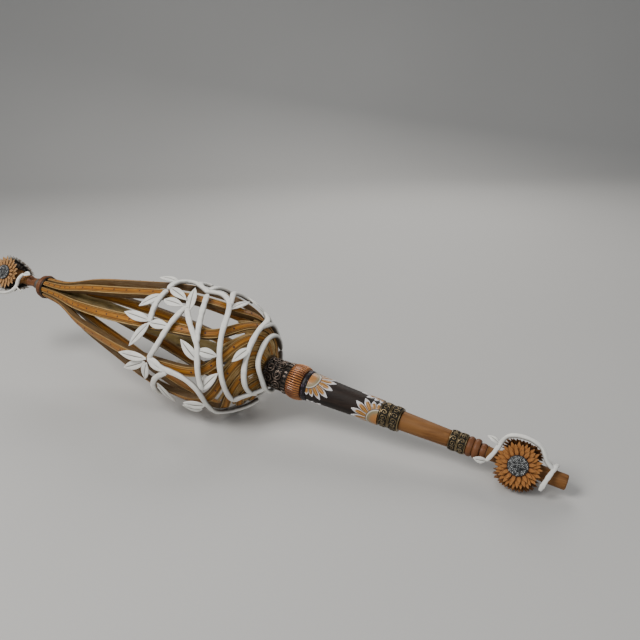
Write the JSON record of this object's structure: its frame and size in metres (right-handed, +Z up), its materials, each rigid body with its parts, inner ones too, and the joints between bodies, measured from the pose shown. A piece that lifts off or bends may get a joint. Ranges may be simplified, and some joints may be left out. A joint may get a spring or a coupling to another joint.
{
  "type": "ornamental parasol staff",
  "caption": "Closed-parasol-shaped ornamental staff: turned handle, swirled cage of bent wooden ribs tied by a white leafy vine, flowers at both ends.",
  "frame": {"origin": "on the ground under the middle of the staff as it lies at rest", "axes": "+X runs along the staff towards the handle's end, +Z up; the staff lies on the cage's belly and on one flower of the handle's end"},
  "size_m": [0.7516, 0.1406, 0.1468],
  "materials": {
    "calyx": "matte",
    "copper": "satin",
    "dark_bronze": "antiqued",
    "dark_wood": "satin",
    "edge_wood": "satin",
    "old_bronze": "antiqued",
    "olive_wood": "satin",
    "pale_wood": "satin",
    "petal": "matte",
    "red_wood": "satin",
    "relief": "satin",
    "rib_wood": "satin",
    "seed": "granular",
    "steel_rod": "brushed",
    "vine_white": "matte"
  },
  "bodies": {
    "root": {"butt_calyxes": "calyx", "butt_flower_1": "petal", "butt_flower_2": "petal", "butt_flower_3": "petal", "butt_peg": "pale_wood", "butt_seed_heads": "seed", "butt_sprig": "vine_white", "centre_post": "olive_wood", "collar": "dark_bronze", "collar_scrolls": "dark_bronze", "core_shaft": "steel_rod", "fluted_ring": "copper", "grip": "pale_wood", "handle_bead_1": "red_wood", "handle_bead_2": "red_wood", "lower_band_1": "old_bronze", "lower_band_2": "old_bronze", "neck_ring": "red_wood", "neck_washer": "dark_bronze", "rib_1": "rib_wood", "rib_2": "rib_wood", "rib_3": "rib_wood", "rib_4": "rib_wood", "rib_5": "rib_wood", "rib_6": "rib_wood", "rib_7": "rib_wood", "rib_8": "rib_wood", "rib_9": "rib_wood", "rib_edgings": "edge_wood", "sleeve": "dark_wood", "sleeve_flowers": "relief", "small_ring": "red_wood", "speckled_ring": "dark_wood", "tip_bead": "vine_white", "tip_calyxes": "calyx", "tip_flower_1": "petal", "tip_flower_2": "petal", "tip_flower_3": "petal", "tip_peg": "pale_wood", "tip_seed_heads": "seed", "tip_spacer": "red_wood", "tip_sprig": "vine_white", "toothed_ring": "dark_bronze", "upper_band_1": "old_bronze", "upper_band_2": "old_bronze", "vine_back_branch": "vine_white", "vine_belly_hoop": "vine_white", "vine_collar_hoop": "vine_white", "vine_crown_branch": "vine_white", "vine_left_branch": "vine_white", "vine_low_branch": "vine_white", "vine_middle_branch": "vine_white", "vine_shoulder_hoop": "vine_white"}
  },
  "joints": []
}
